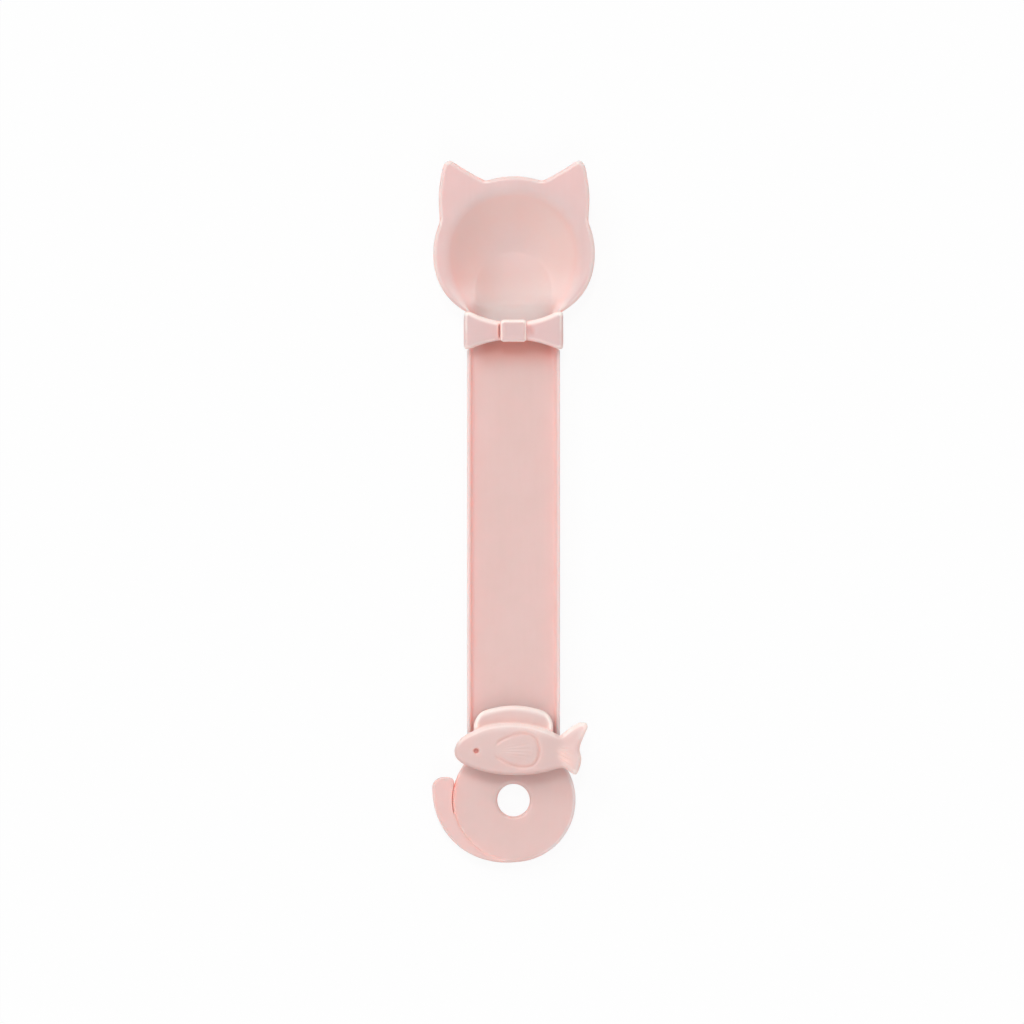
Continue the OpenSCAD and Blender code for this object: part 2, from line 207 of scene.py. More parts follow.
def bend(field, p, h=0.5):
    """How sharply the surface turns: positive on an edge, negative in a corner."""
    around = sum(field(*(p + h * s * e).T) for e in np.eye(3) for s in (1, -1))
    return (around - 6 * field(*p.T)) / h ** 2


print("grid lines, fine at first:", spaced((0, 0.25), (1, 0.5), (2, 1)))

# %% Points and faces of a surface
SLIDES, LONGEST_SLIDE = 5, 0.15


def skin(field, xs, ys, zs):
    """Points and four-sided faces of the surface where the distance is zero."""
    grid = (xs, ys, zs)
    shape = tuple(len(g) for g in grid)
    f = field(xs[:, None, None], ys[None, :, None], zs[None, None, :])
    f = np.broadcast_to(f, shape)
    cells = tuple(n - 1 for n in shape)
    rings, places = [], []
    for axis in range(3):
        u, v = (axis + 1) % 3, (axis + 2) % 3
        low = np.take(f, np.arange(shape[axis] - 1), axis)
        high = np.take(f, np.arange(1, shape[axis]), axis)
        at = np.argwhere((low < 0) != (high < 0))
        fa, fb = low[tuple(at.T)], high[tuple(at.T)]
        p = np.stack([grid[c][at[:, c]] for c in range(3)], 1)
        p[:, axis] += fa / (fa - fb) * np.diff(grid[axis])[at[:, axis]]
        ring = []
        for du, dv in ((-1, -1), (0, -1), (0, 0), (-1, 0)):
            cell = at.copy()
            cell[:, u] += du
            cell[:, v] += dv
            ring.append(np.ravel_multi_index(cell.T, cells))
        ring = np.stack(ring, 1)
        ring[fa > 0] = ring[fa > 0][:, ::-1]
        rings.append(ring)
        places.append(np.repeat(p, 4, axis=0))
    faces = np.concatenate(rings)
    places = np.concatenate(places)
    _, faces = np.unique(faces, return_inverse=True)
    faces = faces.reshape(-1)
    count = np.bincount(faces)
    points = np.stack([np.bincount(faces, places[:, c]) / count for c in range(3)], 1)
    for _ in range(SLIDES):
        g = slope(field, points)
        step = field(*points.T) / np.maximum((g * g).sum(1), 0.04)
        points = points - g * np.clip(step, -LONGEST_SLIDE, LONGEST_SLIDE)[:, None]
    return points, faces.reshape(-1, 4)


lines = spaced((-1.5, 0.4), (1.5, 1))
ball = skin(lambda x, y, z: np.sqrt(x * x + y * y + z * z) - 1, lines, lines, lines)
print("a ball as a mesh:", len(ball[1]), "faces")

# %% One moulded piece
# a painted highlight on edges and a painted shade in corners, both set from the bend
PAINTED_HIGHLIGHT_FROM, PAINTED_HIGHLIGHT_OVER = 0.25, 0.35  # the bend where an edge starts to pale
PAINTED_SHADE_FROM, PAINTED_SHADE_OVER = 0.2, 0.4  # and a corner to deepen
PAINTED_SHADE_SHARE, PAINTED_SHADE_CURVE = 0.18, 2.5


def set_down(name, data):
    """A new object in the scene, unturned at the origin."""
    thing = bpy.data.objects.new(name, data)
    scene.collection.objects.link(thing)
    return thing


def mould(name, field, xs, ys, zs, painted_light):
    """A Blender object of one moulded piece, its place kept in its mesh."""
    points, faces = skin(field, xs, ys, zs)
    mesh = bpy.data.meshes.new(name)
    mesh.from_pydata((points * MM).tolist(), [], faces.tolist())
    # the "bend" attribute keeps each point's painted highlight, above 0, and painted shade, below 0
    turn = mesh.attributes.new("bend", "FLOAT", "POINT")
    sharp = bend(field, points) / 2
    tone = np.clip((sharp - PAINTED_HIGHLIGHT_FROM) / PAINTED_HIGHLIGHT_OVER, 0, 1)
    corner = np.clip((-sharp - PAINTED_SHADE_FROM) / PAINTED_SHADE_OVER, 0, 1)
    tone = painted_light(tone - PAINTED_SHADE_SHARE * corner ** PAINTED_SHADE_CURVE, *points.T)
    turn.data.foreach_set("value", np.clip(tone, -1, 1))
    mesh.shade_smooth()
    off = np.abs(field(*points.T)).max()
    print(f"{name}: {len(points)} points, {2 * len(faces)} triangles, "
          f"furthest point {off:.3f} mm off the surface")
    return set_down(name, mesh)


print("a bend of", PAINTED_HIGHLIGHT_FROM + PAINTED_HIGHLIGHT_OVER, "per mm counts as a full edge")

# %% [markdown]
# ## The spoon head
# The head is one moulding: a flat oval rim with two ears, a bowl hung below it, and a short
# neck that carries the channel on into the bowl. From outside the bowl is a stack of ovals
# that shrink and drift towards the ears as they go down. Inside, the channel's floor runs
# down as a ramp with a round end, and an even wall climbs from there to the opening's edge.
# The line where ramp and wall meet stays as a faint crescent. In these formulas v is y
# measured from the bowl's middle.

# %% Outline of the rim and the ears
EAR = smooth_loop([
    (6.0, 9), (13, 4.0), (20.2, 4.0), (20.55, 7.4), (20.8, 11), (20.95, 14.5), (20.75, 18),
    (20.3, 21), (19.9, 23.2), (19.1, 24.9), (18.0, 25.4), (16.7, 24.9), (14.2, 23.3),
    (11.2, 21.55), (8.6, 20.15), (5.8, 18.6), (5.0, 14)])
ear_distance = distance_map(EAR)
# half the rim's width, and its reach towards the ears and towards the neck
RIM_HALF, RIM_UP, RIM_DOWN = 22.44, 21.2, 19.4
UP_POWER, DOWN_POWER = 2.0, 2.25  # 2 is an oval, and more is fuller
RIM_X, RIM_V = 0.15, -0.1  # the outline's middle, from the bowl's


def rim_outline(x, v):
    """Distance to the rim's outline, an oval that is fuller towards the neck."""
    full = np.where(v < 0, DOWN_POWER, UP_POWER)
    half = np.where(v < 0, RIM_DOWN, RIM_UP)
    k = (np.abs(x / RIM_HALF) ** full + np.abs(v / half) ** full) ** (1 / full)
    r = np.hypot(x, v)
    return r - r / np.maximum(k, 1e-6)


def face_outline(x, v):
    """Distance to the outline of the whole face, ears included."""
    side = x - RIM_X
    return either(rim_outline(side, v - RIM_V), ear_distance(np.abs(side), v), 0.4)


print("the face is", 2 * RIM_HALF, "mm wide, and its ears reach", round(EAR[:, 1].max(), 1))

# %% The bowl from outside and from inside
HULL_W, HULL_L, HULL_DEPTH = 40.4, 37.2, 7.05  # the bowl from outside
HULL_FOOT, HULL_DRIFT = 0.42, 5.0  # share that its foot keeps, and its drift
OPEN_HALF, OPEN_UP, OPEN_DOWN = 18.5, 16.9, 21.5  # the opening's edge likewise
THROAT_HALF = 11.5  # half its width where the neck begins
END_V, END_R = -10.6, 10.6  # middle and radius of the ramp's round end
RAMP_Y, RAMP_FALL = 57.4, 0.125  # where the ramp begins and how steeply it falls
SIDE_LIFT, SIDE_CURVE = 2.0, 2.4  # how much higher its sides lie
WALL_CURVE = 1.7  # 1 is a plain cone, and more is rounder


def hull_shape(x, v, z):
    """The bowl from outside: ovals that shrink from the rim down to a flat foot."""
    s = np.clip((HULL_DEPTH - z) / HULL_DEPTH, 0, 1)
    c = np.sqrt(1 - s * s)
    size = HULL_FOOT + (1 - HULL_FOOT) * c
    lean = (1 - HULL_FOOT) * s / np.maximum(c, 0.04) * (HULL_W + HULL_L) / 4 / HULL_DEPTH
    side = oval(x, v - HULL_DRIFT * s, HULL_W / 2 * size, HULL_L / 2 * size)
    return both(side / np.sqrt(1 + lean ** 2), -z, 0.5)


def reach(x, v):
    """How far the opening's edge lies from the middle of the ramp's round end."""
    turn = np.arctan2(np.abs(x), v - END_V)
    s, c = np.sin(turn) / OPEN_HALF, np.cos(turn)
    far = []
    for half in (OPEN_UP, OPEN_DOWN):
        a, b = s ** 2 + (c / half) ** 2, 2 * END_V * c / half ** 2
        far.append((np.sqrt(b * b - 4 * a * ((END_V / half) ** 2 - 1)) - b) / (2 * a))
    return np.where(END_V + far[0] * c > 0, far[0], far[1])


def ramp(x, y):
    """Height of the ramp that runs from the channel down into the bowl."""
    down = FLOOR - RAMP_FALL * np.maximum(y - RAMP_Y, 0)
    return down + SIDE_LIFT * (np.abs(x) / END_R) ** SIDE_CURVE * ease((y - 53) / 7)


def dish(x, y):
    """Height of the inside: the ramp, then a wall that climbs to the opening's edge."""
    v = y - BOWL_Y
    r = np.hypot(x, v - END_V)
    near = END_R / np.maximum(r, END_R)
    foot = ramp(x * near, BOWL_Y + END_V + (v - END_V) * near)
    out = np.maximum(r - END_R, 0) / np.maximum(reach(x, v) - END_R, 0.3)
    # towards the neck the foot of the wall runs straight, and the wall gets steep
    edge = OPEN_HALF * np.sqrt(np.clip(1 - (v / OPEN_DOWN) ** 2, 0, 1))
    edge = (edge + THROAT_HALF + np.hypot(edge - THROAT_HALF, 0.9)) / 2
    beside = np.maximum(np.abs(x) - END_R, 0) / (edge - END_R)
    low = v < END_V
    out = np.where(low, beside, out)
    foot = np.where(low, ramp(np.minimum(np.abs(x), END_R), y), foot)
    return foot + (RIM - foot) * np.minimum(out, 1.4) ** WALL_CURVE


def inside(x, y, z):
    """Distance into the bowl and channel, from their height and its steepness."""
    h = 0.05
    rise = np.hypot(dish(x + h, y) - dish(x - h, y), dish(x, y + h) - dish(x, y - h))
    return (dish(x, y) - z) / np.sqrt(1 + (rise / (2 * h)) ** 2)


print("the bowl's lowest point is", round(RIM - float(dish(0.0, BOWL_Y)), 1), "mm below its rim")

# %% The head as one moulding
RIM_T, WALL = 2, 1.5  # thickness of the rim and of the bowl's wall
LINING_HALF = 18.8  # how far along the spoon that wall may reach
NECK_TOP_Y = 63.6
CLIP_Y = 50.23  # middle of the notches for the clips


def head_shape(x, y, z):
    """Distance to the head: rim, bowl, neck, core and tongue, with the opening cut in."""
    v = y - BOWL_Y
    ax = np.abs(x)
    rim = raised(face_outline(x, v), z, RIM - RIM_T, RIM, 1.15, 0.7)
    hollow = inside(x, y, z)
    lining = np.maximum(hollow - WALL, BACK - z)
    lining = both(oval(x, v, HULL_W / 2, LINING_HALF), lining, 0.6)
    hung = np.maximum(either(hull_shape(x, v, z), lining, 0.3), z - RIM + 1.6)
    solid = either(rim, hung, 1.0)
    solid = np.maximum(solid, JOINT_Y + PRESS - y)
    neck = block(x, y, z, (-HANDLE_HALF, HEAD_END, BACK), (HANDLE_HALF, NECK_TOP_Y, RIM), 0.4)
    core = block(x, y, z, (-CORE_HALF, HEAD_END, CORE_Z), (CORE_HALF, NECK_TOP_Y, BACK + 1),
                 0.3)
    tongue = block(x, y, z, (-TONGUE_HALF, TONGUE_END, TONGUE_LOW),
                   (TONGUE_HALF, 51, TONGUE_HIGH), 0.25)
    solid = either(either(solid, neck, 0.5), core, 0.3)
    solid = without(solid, hollow, 0.55)
    solid = either(solid, tongue, 0.2)
    notch = np.maximum(CLIP_X - ax, np.abs(y - CLIP_Y) - CLIP_HALF)
    return without(solid, np.maximum(notch, CORE_Z - z), 0.1)


def head_painted_light(tone, x, y, z):
    """No painted highlight on the edges inside the opening, and painted light low in the bowl."""
    opening = ease((-1.1 - oval(x, y - BOWL_Y, 22.6, 21.1)) / 0.6)
    # the painted highlight on the rim's edge is weaker at its lower left, which lies in shade, and a
    # painted highlight makes the rim paler at its far right
    shaded_lower_left = ease((BOWL_Y - 6 - y) / 6) * ease((-x - 8) / 4)
    tone = tone * (1 - opening) * (1 - 0.6 * shaded_lower_left) + 0.15 * ease((x - 19) / 2) * (z > 7)
    # painted light makes the plastic paler towards the neck, at the wall's lower left and on its
    # right
    pale = 0.4 * ease((67 + 0.15 * x - y) / 9) + 0.5 * ease((59.5 - y) / 4)
    pale = pale + 0.35 * ease((-x - 8) / 5) * ease((66 - y) / 6)
    pale = pale + 0.2 * ease((x - 1) / 11) * ease((7.4 - z) / 1.5)
    return tone + pale * opening * (z > BACK)


spoon_head = mould("cat_face_bowl", head_shape, spaced((-22.97, 0.31), (23.0, 1)),
                   spaced((43.83, 0.31), (97.93, 1)), spaced((-0.37, 0.26), (7.93, 1)),
                   head_painted_light)

# %% [markdown]
# ## The handle
# The handle is a straight channel: a plain floor between two low rails, that the pouch lies
# in. It ends in a disc with a hanging hole, and a tail curls round the disc from below and
# stands off it by a thin slit near its tip. The disc is cored out behind, as moulders do to
# keep every wall equally thick so that nothing sinks as it cools. In these formulas d is y
# measured from the hole's middle.

# %% Outline of the curled tail
TAIL_R, TAIL_X, TAIL_Y = 20.925, -1.664, 3.568  # radius and middle of its outer circle
TAIL_FULL = 2.1  # power of its lower left, where 2 is a circle
TIP_R, TIP_DROP = 2.95, 0.15  # the round of its tip
CORNER_X, CORNER_Y, CORNER_R = -18.0, 4.85, 1.5  # the tip's tighter corner by the slit
TAIL_INNER, TAIL_ENDS_X = 16.6, 8.5  # where it meets the disc, and where it runs out


def tail_flat(x, d):
    """The crescent between the disc and a larger circle that touches it."""
    r = np.hypot(x, d)
    p, q = np.abs(x - TAIL_X), np.abs(d - TAIL_Y)
    full = (p ** TAIL_FULL + q ** TAIL_FULL) ** (1 / TAIL_FULL)
    curl = np.where(x < TAIL_X, full, np.hypot(p, q)) - TAIL_R
    curl = np.maximum(curl, d - TAIL_Y)
    tip = np.hypot(x - TAIL_X + TAIL_R - TIP_R, d - TAIL_Y + TIP_DROP) - TIP_R
    corner = np.hypot(x - CORNER_X, d - CORNER_Y) - CORNER_R
    tail = np.maximum(np.minimum(curl, either(tip, corner, 0.6)), TAIL_INNER - r)
    return np.maximum(tail, x - TAIL_ENDS_X)


print("the tail reaches", round(TAIL_R - TAIL_X, 1), "mm to the left of the hole's middle")

# %% Channel, disc and tail as one moulding
TROUGH_HALF, BAR_END_Y = 11.7, -69.77  # between its rails, and its lower end
BRIDGE_HALF = 10.2  # the floor that runs on into the disc
DISC_R, DISC_FULL, HOLE_R = 17, 0.22, 4.5  # the disc is a little fuller on its right
POCKET_IN, POCKET_OUT = 6.1, 15.4  # the ring that is cored out behind
TAIL_STEP = 0.6  # how far the tail stands above the disc
SLIT_R, SLIT_HALF, SLIT_Z = 16.95, 0.11, 2.9  # the slit, with a thin web under it
SLIT_LOW, SLIT_HIGH = -3.94, 5.2  # where it starts and ends, from the hole's middle


def handle_shape(x, y, z):
    """Distance to the handle: channel, disc, tail and core, less slit, socket and notches."""
    d = y - HOLE_Y
    r = np.hypot(x, d)
    ax = np.abs(x)
    bar = block(x, y, z, (-HANDLE_HALF, BAR_END_Y, BACK), (HANDLE_HALF, HANDLE_END, RAIL), 0.45)
    bar = without(bar, both(ax - TROUGH_HALF, FLOOR - z, 0.9), 0.5)
    bridge = block(x, y, z, (-BRIDGE_HALF, -71.67, BACK), (BRIDGE_HALF, -66, FLOOR), 0.02)
    disc = r - DISC_R - DISC_FULL * ease((x + 6) / 8)
    merged = np.minimum(disc, np.maximum(tail_flat(x, d), -4.5 - x))
    face = both(merged, z - FLOOR, 0.85)
    face = np.maximum(face, both(HOLE_R - r, z - FLOOR, 1.1))
    face = both(face, -z, 0.3)
    pocket = np.maximum(np.maximum(POCKET_IN - r, r - POCKET_OUT), z - BACK)
    face = without(face, pocket, 0.25)
    step = ease((-3 - x) / 8)
    tail = raised(tail_flat(x, d), z, BACK, FLOOR + TAIL_STEP * step, 0.9 - 0.4 * step)
    core = block(x, y, z, (-CORE_HALF, 43.03, CORE_Z), (CORE_HALF, HANDLE_END, BACK + 1), 0.3)
    solid = either(np.minimum(np.minimum(bar, bridge), face), tail, 0.02 + 0.13 * step)
    slit = np.maximum(np.abs(r - SLIT_R) - SLIT_HALF, np.maximum(SLIT_Z - z, SLIT_LOW - d))
    slit = np.maximum(slit, d - SLIT_HIGH)
    solid = np.maximum(solid, -np.maximum(slit, x))
    solid = either(solid, core, 0.3)
    socket = np.maximum(ax - TONGUE_HALF - PRESS, TONGUE_END - PRESS - y)
    socket = np.maximum(socket, np.abs(z - (TONGUE_LOW + TONGUE_HIGH) / 2) - 0.75)
    solid = without(solid, socket, 0.15)
    return without(solid, np.maximum(CLIP_X - ax, 45.1 - y), 0.6)


def handle_painted_light(tone, x, y, z):
    """Painted shadow under the bow, painted shade in the tail's slit, and a painted highlight only on
    the outer edges.
    """
    d = y - HOLE_Y
    r = np.hypot(x, d)
    disc = ease((12 - d) / 1.5)
    rail = ease((np.abs(x) - 11.9) / 0.5)
    # on the disc the painted highlight is only on the right edge and the hole's edge
    right = ease((x - 3) / 8) * (r > 8)
    on_disc = 0.85 * right + 0.3 * (r < 8)
    tone = np.maximum(tone, 0) * (0.7 * rail * (1 - disc) + disc * on_disc)
    # a painted highlight makes the raised tail a little paler than the disc
    tone = tone + 0.12 * ease((r - 17.2) / 0.5) * ease((8 - d) / 2) * (x < 0)
    # painted shade in the tail's slit, and a painted shadow on the floor under the bow
    slit = ease((0.42 - np.abs(r - SLIT_R)) / 0.25) * (x < 0)
    slit = slit * ease((d + 9) / 8) * ease(SLIT_HIGH - d)
    painted_bow_shadow = ease((y - 36) / 10) ** 2 * ease((x + 12.2) / 5) * ease((12.2 - x) / 2.5)
    return tone - 0.12 * slit - painted_bow_shadow * (z > 3)


handle = mould("channel_handle", handle_shape,
               spaced((-23.3, 0.33), (-18.0, 0.12), (-15.6, 0.33), (-13.3, 0.2),
                      (-10.2, 0.4), (10.2, 0.2), (13.3, 0.33), (17.6, 1)),
               spaced((-98.0, 0.33), (-59.0, 1.3), (41.0, 0.3), (50.8, 1)),
               spaced((-0.37, 0.27), (6.0, 1)), handle_painted_light)

# %% [markdown]
# ## The bow tie
# The bow snaps over the joint between the handle and the head and holds the two together
# with a clip down each side. Its face is a plate cut in by two arcs, pinched a little beside
# a raised knot, as cloth would be. One side of the knot keeps a thin crease and the other a
# soft dimple. In these formulas v is y measured from the joint.

# %% Bow, knot and clips
BOW_HALF, BOW_HALF_H, BOW_V = 13.75, 5.23, 0.08  # half its width and height, its middle
R_TOP, R_LOW = 25.5, 29.0  # radii of the two arcs
TOP_V, LOW_V = 2.38, -2.47  # the nearest that they come to its middle
BOW_T, KNOT_T = 1.8, 3.0  # thickness of the plate and of the knot
KNOT_HALF, KNOT_HALF_H = 3.55, 3.1
CREASE_X, DIMPLE_X = -3.95, 4.7
CLIP_IN, HOOK_IN, CLIP_Z = 12.3, 11.0, 0.65  # inner sides and lower ends of the clips


def top_arc(x, v):
    """Distance past the arc that cuts in from above."""
    return R_TOP - np.hypot(x, v - TOP_V - R_TOP)


def bow_shape(x, y, z):
    """Distance to the bow: the plate and the knot, with two hooked clips behind."""
    v = y - JOINT_Y
    ax = np.abs(x)
    end = both(ax - BOW_HALF, np.abs(v - BOW_V) - BOW_HALF_H, 0.7)
    low_arc = R_LOW - np.hypot(x, v - LOW_V + R_LOW)
    flat = both(both(end, top_arc(x, v), 0.5), low_arc, 0.5)
    pinch = 0.22 * np.exp(-((ax - 3.9) / 1.6) ** 2)
    crease = 0.9 * np.exp(-((x - CREASE_X) / 0.24) ** 2) * ease((2.6 - np.abs(v)) / 1.2)
    dimple = 0.55 * np.exp(-((x - DIMPLE_X) / 1.2) ** 2 - (v / 1.5) ** 2)
    face = raised(flat, z, SLOT, SLOT + BOW_T - pinch - crease - dimple, 1.1, 0.2)
    knot_flat = both(ax - KNOT_HALF, np.abs(v) - KNOT_HALF_H, 0.9)
    knot_top = SLOT + KNOT_T - 0.1 * ease((-knot_flat - 0.7) / 0.8)
    knot = raised(knot_flat, z, SLOT, knot_top, 0.8)
    leg = block(ax, v, z, (CLIP_IN, -4, CLIP_Z), (BOW_HALF, 4, SLOT + 1), 0.3)
    hook = block(ax, v, z, (HOOK_IN, -4, CLIP_Z), (BOW_HALF, 4, CLIP_Z + 1.5), 0.3)
    solid = either(face, either(leg, hook, 0.2), 0.3)
    return either(solid, knot, 0.12)


def bow_painted_light(tone, x, y, z):
    """Painted highlight on the upper edges and the knot's, and painted shade in the crease and
    dimple.
    """
    v = y - JOINT_Y
    ax = np.abs(x)
    # the knot's edge has a painted highlight at its sides and its top, and half as much below
    knot = ease((KNOT_HALF + 0.2 - ax) / 0.1)
    ring = np.maximum(ease((ax - 2.95) / 0.4), ease((v - 1.7) / 0.7))
    ring = np.maximum(ring, 0.5 * ease((-v - 2.5) / 0.3))
    ring = ring * ease((z - SLOT - 1.9) / 0.5)
    # the plate's edges get more painted highlight above than below, as the light falls from above,
    # and less beside the crease
    plain = 0.45 + 0.55 * ease((v + 1) / 2)
    plain = plain * (1 - 0.7 * ease((0.9 - np.abs(x + 4.3)) / 0.3))
    plain = plain * ease((z - SLOT + 1) / 2)
    tone = np.maximum(tone, 0) * (knot * ring + (1 - knot) * plain)
    # a painted highlight band follows the upper arc
    painted_highlight_band = ease((top_arc(x, v) + 1.7) / 1.0) * ease((z - SLOT - 0.7) / 0.5)
    tone = np.maximum(tone, 0.88 * painted_highlight_band * (1 - knot))
    # painted shade in the crease and the dimple
    crease = ease((0.3 - np.abs(x - CREASE_X)) / 0.2) * ease((2.4 - np.abs(v)) / 1.0)
    dimple = np.exp(-((x - DIMPLE_X) / 1.2) ** 2 - (v / 1.3) ** 2)
    return tone - 0.7 * crease - 0.13 * dimple * (z > SLOT)


bow_tie = mould("ribbon_bow", bow_shape, spaced((-14.13, 0.2), (14.17, 1)),
                spaced((44.57, 0.2), (55.97, 1)), spaced((0.27, 0.2), (11.03, 1)), bow_painted_light)

# %% [markdown]
# ## The fish slider
# The slider is a block that runs between the rails, with a fish across the top for the
# thumb. The block has a lip along its arched edge and a shallow dish behind it. The fish is
# pillowed like pressed clay, with a side fin in a groove, an eye with a small ring round it,
# and a flatter tail. Both outlines are smooth curves through a few points, measured from the
# fish's middle, and v is y measured from there too.

# %% Outlines of the fish and its fin
FISH = smooth_loop([
    (-16.4, -0.7), (-15.5, 1.9), (-13.6, 3.6), (-10.8, 5.1), (-7.7, 6.3), (-4.2, 7.0),
    (-0.4, 7.15), (3.7, 6.8), (7.9, 5.8), (10.75, 4.7), (12.75, 3.8), (14.0, 4.5),
    (16.1, 6.1), (18.6, 7.35), (20.1, 7.2), (20.6, 5.9), (19.7, 3.7), (18.7, 1.3),
    (18.4, -0.4), (18.85, -2.4), (18.7, -4.3), (17.9, -6.6), (17.0, -7.15),
    (15.6, -6.4), (14.2, -5.5), (12.5, -5.5), (9.3, -6.4), (5.1, -7.15), (0.6, -7.35),
    (-4.6, -7.05), (-9.1, -6.1), (-13.3, -4.6), (-15.7, -2.8)])
FIN = smooth_loop([
    (-5.9, -0.2), (-4.6, 1.5), (-2.0, 3.0), (1.6, 4.2), (4.5, 4.0), (6.5, 2.5),
    (7.2, -0.1), (6.9, -2.6), (5.9, -4.2), (4.5, -4.95), (2.0, -5.1), (-1.1, -4.3),
    (-3.7, -2.9), (-5.3, -1.6)])
fish_distance = distance_map(FISH)
fin_distance = distance_map(FIN)
print("the fish is", round(float(np.ptp(FISH[:, 0])), 1), "mm from nose to tail")

# %% Relief on the fish
EYE_X, EYE_Y = -10.4, -0.6
FIN_OPEN_X = -5.4  # the fin's point, where its groove runs out
FISH_TOP, FISH_CROWN, CROWN_HALF = 9.25, 1.2, 8.6  # its edge's height, and its pillow's


def fish_top(x, v):
    """Height of the fish's upper face."""
    body = ease((20.0 - x) / 13.0)
    pillow = np.sqrt(np.clip(1 - (v / CROWN_HALF) ** 2, 0, 1))
    crown = FISH_TOP + FISH_CROWN * body * pillow
    fin = fin_distance(x, v)
    groove = 0.34 * np.exp(-(fin / 0.4) ** 2) * ease((x - FIN_OPEN_X) / 1.6)
    pad = 0.1 * ease(-fin / 0.8) * ease((x - FIN_OPEN_X) / 4.0)
    r = np.hypot(x - EYE_X, v - EYE_Y)
    eye = 0.8 * ease((0.95 - r) / 0.5) - 0.04 * np.exp(-((r - 1.15) / 0.25) ** 2)
    return crown + pad - 0.12 - groove - eye


print("the fish's back is", round(float(fish_top(3.0, 0.0)), 1), "mm above the table")

# %% Fish, block and legs as one moulding
BLOCK_TOP_Y, BLOCK_LOW_Y, BLOCK_HALF, ARCH_R = -53.883, -69.883, 11.05, 24.6
BLOCK_Z, BLOCK_TOP_Z = 4.8, 8.6
LEG_IN, LEG_OUT, LEG_HALF = 13.2, 14.7, 2.7  # the two legs, which go round the rails
PLUG_X, PLUG_HALF, PLUG_HALF_H = 13.95, 0.45, 2.4  # their plugs
PLATE_LOW, PLATE_HIGH = 0.4, 1.9  # heights of the back plate's faces


def arch(x, y):
    """Distance past the block's arched upper edge."""
    return np.hypot(x, y - (BLOCK_TOP_Y - ARCH_R)) - ARCH_R


def block_flat(x, y):
    """Distance to the block's outline."""
    return np.maximum(both(np.abs(x) - BLOCK_HALF, arch(x, y), 3.0), BLOCK_LOW_Y - y)


def slider_shape(x, y, z):
    """Distance to the slider: the fish on its block, and the legs with their plugs."""
    v = y - FISH_Y
    ax = np.abs(x)
    fish = raised(fish_distance(x, v), z, SLOT, fish_top(x, v), 1.35, 0.4)
    flat = block_flat(x, y)
    thumb = 0.95 * ease((-flat - 0.7) / 1.2) * ease((-arch(x, y) - 1.0) / 5.0)
    thumb = thumb * ease((y + 66) / 4)
    pusher = raised(flat, z, BLOCK_Z, BLOCK_TOP_Z - thumb, 1.15, 0.3)
    bridge = block(x, v, z, (-LEG_OUT, -LEG_HALF, 5.9), (LEG_OUT, LEG_HALF, SLOT + 0.3), 0.3)
    leg = block(ax, v, z, (LEG_IN, -LEG_HALF, PLATE_HIGH), (LEG_OUT, LEG_HALF, SLOT + 0.3), 0.25)
    plug = block(ax, v, z, (PLUG_X - PLUG_HALF, -PLUG_HALF_H, PLATE_LOW),
                 (PLUG_X + PLUG_HALF, PLUG_HALF_H, PLATE_HIGH + 0.3), 0.2)
    carrier = either(np.minimum(bridge, leg), plug, 0.05)
    return either(either(fish, pusher, 0.35), carrier, 0.25)


def fish_painted_light(tone, x, y, z):
    """Painted highlight on the upper edges and the block's lip, painted shade in the eye and the
    groove.
    """
    v = y - FISH_Y
    edge = fish_distance(x, v)
    fin = fin_distance(x, v)
    inner = ease((-1.2 - edge) / 0.4)
    upper = ease((z - SLOT) / 0.3)
    # the fish's edges get a painted highlight where they face up towards the light, along the back
    # and on the tail
    facing = np.maximum(ease((v + 0.5) / 5.0), 0.6 * ease((x - 12.5) / 2))
    facing = facing * (1 - inner)
    tone = np.maximum(tone, 0) * (upper * facing + (1 - upper) * 0.25)
    tone = tone + upper * (0.2 + 0.08 * ease(-v / 3)) * ease((x - 11.5) / 4)
    back = ease((edge + 2.8) / 2.0) * ease((0.6 - edge) / 0.4)
    tone = tone + upper * 0.3 * back * ease((v - 1) / 4)
    # a painted highlight lies on the lip round the block's upper edge, where the fish doesn't cover
    # it
    painted_lip_highlight = 0.12 + 0.73 * ease((block_flat(x, y) + 2.1) / 1.5)
    painted_lip_highlight = painted_lip_highlight * ease((edge - 0.1) / 0.5)
    tone = np.maximum(tone, painted_lip_highlight * ease((z - 7.4) / 0.5) * (y > FISH_Y))
    # painted shade in the fin's groove and in the eye's pit
    groove = 0.2 * np.exp(-(fin / 0.3) ** 2) * ease((x - FIN_OPEN_X) / 1.6)
    r = np.hypot(x - EYE_X, v - EYE_Y)
    return tone - upper * inner * (groove + 0.8 * ease((0.75 - r) / 0.2))


fish_slider = mould("fish_pusher", slider_shape, spaced((-16.87, 0.2), (21.13, 1)),
                    spaced((-73.79, 0.2), (-70.9, 0.14), (-61.7, 0.2), (-53.4, 1)),
                    spaced((0.07, 0.22), (10.97, 1)), fish_painted_light)

# %% [markdown]
# ## The slider's back plate
# The plate closes the slider round the handle from behind. The two legs are pressed into
# its square holes. It is cut round at the bottom to clear the disc.

# %% Back plate
PLATE_HALF, PLATE_V, PLATE_REACH = 12.9, 2.6, 5.3  # the part that reaches past the legs
DISC_CLEAR_R = 17.45


